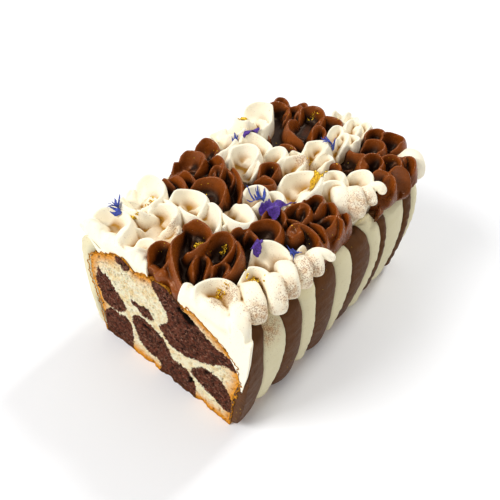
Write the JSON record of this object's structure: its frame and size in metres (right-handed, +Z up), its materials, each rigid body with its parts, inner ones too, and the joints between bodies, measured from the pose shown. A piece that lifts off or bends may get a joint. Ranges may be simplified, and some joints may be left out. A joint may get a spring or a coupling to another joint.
{
  "type": "marble loaf cake",
  "caption": "Marble loaf cake with one cut end, vertical cream and chocolate icing stripes on the walls, piped ruffles on top, dried petals and gold leaf.",
  "frame": {"origin": "on the table, under the middle of the sponge's flat bottom", "axes": "+Z up, +Y from the cut end towards the uncut end, +X to the right when facing the cut end"},
  "size_m": [0.1167, 0.1642, 0.0903],
  "materials": {
    "sponge": "porous crumb, vanilla marbled with chocolate, thin golden crust; matte_plastic stands in for baked sponge",
    "cream_wall": "satin buttercream with tiny air pits and cocoa specks",
    "chocolate_wall": "satin chocolate buttercream",
    "cream_ruffle": "satin buttercream, dusted with cocoa and gold",
    "chocolate_ruffle": "glossy chocolate buttercream, dusted with gold",
    "violet_petal": "dry, crumpled petal",
    "blue_petal": "dry, crumpled petal",
    "gold_leaf": "crumpled edible gold leaf"
  },
  "bodies": {
    "root": {"blue_petal_back": "blue_petal", "blue_petal_back_left": "blue_petal", "blue_petal_centre": "blue_petal", "blue_petal_front": "blue_petal", "blue_petal_left": "blue_petal", "chocolate_ruffle_back_left": "chocolate_ruffle", "chocolate_ruffle_back_right": "chocolate_ruffle", "chocolate_ruffle_front": "chocolate_ruffle", "chocolate_ruffle_middle_left": "chocolate_ruffle", "chocolate_ruffle_middle_right": "chocolate_ruffle", "chocolate_stripe_01": "chocolate_wall", "chocolate_stripe_03": "chocolate_wall", "chocolate_stripe_05": "chocolate_wall", "chocolate_stripe_07": "chocolate_wall", "chocolate_stripe_09": "chocolate_wall", "chocolate_stripe_11": "chocolate_wall", "chocolate_stripe_13": "chocolate_wall", "chocolate_stripe_15": "chocolate_wall", "chocolate_stripe_17": "chocolate_wall", "chocolate_stripe_19": "chocolate_wall", "chocolate_stripe_21": "chocolate_wall", "chocolate_stripe_23": "chocolate_wall", "chocolate_stripe_25": "chocolate_wall", "chocolate_stripe_27": "chocolate_wall", "chocolate_stripe_29": "chocolate_wall", "cream_ruffle_back_centre": "cream_ruffle", "cream_ruffle_back_corner": "cream_ruffle", "cream_ruffle_centre": "cream_ruffle", "cream_ruffle_front_left": "cream_ruffle", "cream_ruffle_front_right": "cream_ruffle", "cream_ruffle_left": "cream_ruffle", "cream_ruffle_middle_right": "cream_ruffle", "cream_stripe_02": "cream_wall", "cream_stripe_04": "cream_wall", "cream_stripe_06": "cream_wall", "cream_stripe_08": "cream_wall", "cream_stripe_10": "cream_wall", "cream_stripe_12": "cream_wall", "cream_stripe_14": "cream_wall", "cream_stripe_16": "cream_wall", "cream_stripe_18": "cream_wall", "cream_stripe_20": "cream_wall", "cream_stripe_22": "cream_wall", "cream_stripe_24": "cream_wall", "cream_stripe_26": "cream_wall", "cream_stripe_28": "cream_wall", "cream_stripe_30": "cream_wall", "gold_leaf_back": "gold_leaf", "gold_leaf_right": "gold_leaf", "sponge": "sponge", "violet_petal_back": "violet_petal", "violet_petal_centre": "violet_petal", "violet_petal_front": "violet_petal"}
  },
  "joints": []
}
